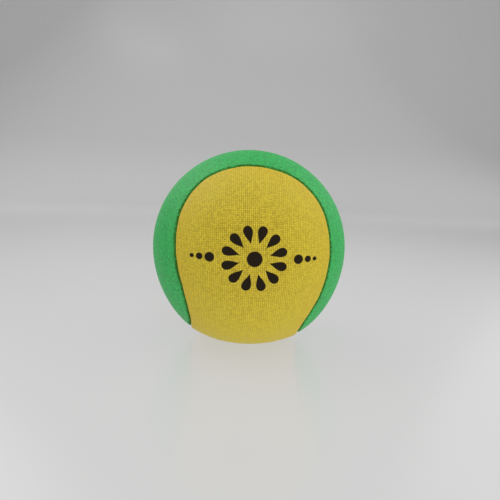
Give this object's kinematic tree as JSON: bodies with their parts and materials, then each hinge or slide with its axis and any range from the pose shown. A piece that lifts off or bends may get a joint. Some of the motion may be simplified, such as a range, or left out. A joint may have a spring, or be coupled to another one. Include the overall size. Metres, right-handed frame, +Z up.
{
  "type": "water bouncing ball",
  "caption": "Soft gel ball in a taut cover of two interlocking stretch-knit panels, for skipping across water.",
  "frame": {"origin": "middle of the flat that the ball rests on", "axes": "+Z up through the ball's centre, -Y towards the front lobe of the yellow panel, X towards the green lobes"},
  "size_m": [0.056, 0.056, 0.0555],
  "materials": {
    "core_gel": "soft translucent gel",
    "green_knit": "fine stretch knit, slight sheen",
    "yellow_knit": "fine stretch knit, slight sheen",
    "sewing_thread": "spun polyester thread"
  },
  "bodies": {
    "root": {"gel_core": "core_gel", "green_panel": "green_knit", "yellow_panel": "yellow_knit", "needle_thread": "sewing_thread", "upper_looper_thread": "sewing_thread", "lower_looper_thread": "sewing_thread", "closing_thread": "sewing_thread"}
  },
  "joints": []
}
